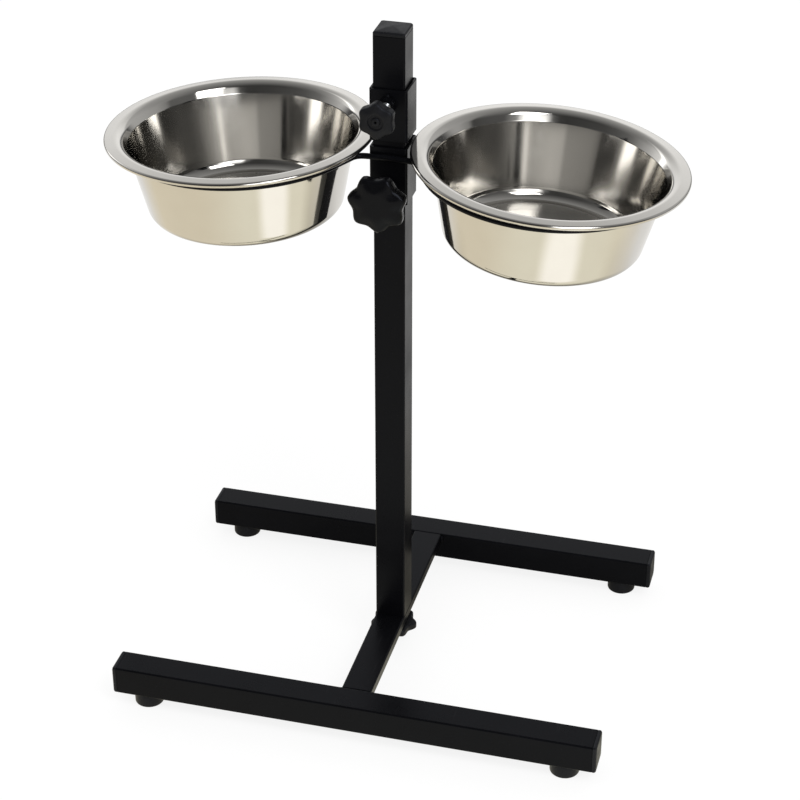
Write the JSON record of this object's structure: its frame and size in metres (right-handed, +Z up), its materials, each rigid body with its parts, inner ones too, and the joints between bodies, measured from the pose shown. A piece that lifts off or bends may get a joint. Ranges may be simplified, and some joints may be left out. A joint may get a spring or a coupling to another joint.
{
  "type": "dog feeder stand",
  "caption": "Free-standing pet feeder: H-shaped tube base, square post, a clamped sliding wire frame and round steel bowls that lift out.",
  "frame": {"origin": "on the floor under the middle of the post", "axes": "+X along the base bars to the right, +Y to the back, +Z up along the post"},
  "size_m": [0.4917, 0.308, 0.608],
  "materials": {
    "black_powder_coat": "satin powder coat",
    "black_plastic": "moulded satin",
    "zinc_steel": "bright zinc plated",
    "stainless_steel": "mirror polished"
  },
  "bodies": {
    "base": {"front_bar": "black_powder_coat", "back_bar": "black_powder_coat", "cross_bar": "black_powder_coat", "base_welds": "black_powder_coat", "front_left_bar_cap": "black_plastic", "front_right_bar_cap": "black_plastic", "back_left_bar_cap": "black_plastic", "back_right_bar_cap": "black_plastic", "front_left_foot": "black_plastic", "front_right_foot": "black_plastic", "back_left_foot": "black_plastic", "back_right_foot": "black_plastic", "post_tube": "black_powder_coat", "post_cap": "black_plastic", "post_plate_nut": "zinc_steel"},
    "base_clamp": {"base_knob": "black_plastic", "base_stud": "zinc_steel"},
    "carriage": {"lower_collar": "black_powder_coat", "lower_nut": "black_powder_coat", "lower_nut_welds": "black_powder_coat", "left_ring": "black_powder_coat", "right_ring": "black_powder_coat", "ring_welds": "black_powder_coat"},
    "lower_clamp": {"lower_knob": "black_plastic", "lower_stud": "zinc_steel"},
    "stop_collar": {"upper_collar": "black_powder_coat", "upper_nut": "black_powder_coat", "upper_nut_welds": "black_powder_coat"},
    "upper_clamp": {"upper_knob": "black_plastic", "upper_stud": "zinc_steel"},
    "bowl_on_left": {"left_bowl": "stainless_steel"},
    "bowl_on_right": {"right_bowl": "stainless_steel"}
  },
  "joints": [
    {"name": "base_knob_turn", "type": "hinge", "parent": "base", "child": "base_clamp", "pos_m": [0, 0, 0.02], "axis": [0, 0, -1], "range_deg": [0, 540]},
    {"name": "carriage_slide", "type": "slide", "parent": "base", "child": "carriage", "axis": [0, 0, 1], "range_m": [-0.4, 0.0025]},
    {"name": "lower_knob_turn", "type": "hinge", "parent": "carriage", "child": "lower_clamp", "pos_m": [0, -0.04, 0.474], "axis": [0, -1, 0], "range_deg": [0, 540]},
    {"name": "stop_collar_slide", "type": "slide", "parent": "base", "child": "stop_collar", "axis": [0, 0, 1], "range_m": [-0.0025, 0.04]},
    {"name": "upper_knob_turn", "type": "hinge", "parent": "stop_collar", "child": "upper_clamp", "pos_m": [0, -0.04, 0.547], "axis": [0, -1, 0], "range_deg": [0, 540]},
    {"name": "left_bowl_lift", "type": "slide", "parent": "carriage", "child": "bowl_on_left", "axis": [-0.0419, 0, 0.9991], "range_m": [0, 0.12]},
    {"name": "right_bowl_lift", "type": "slide", "parent": "carriage", "child": "bowl_on_right", "axis": [0.0785, 0, 0.9969], "range_m": [0, 0.12]}
  ]
}
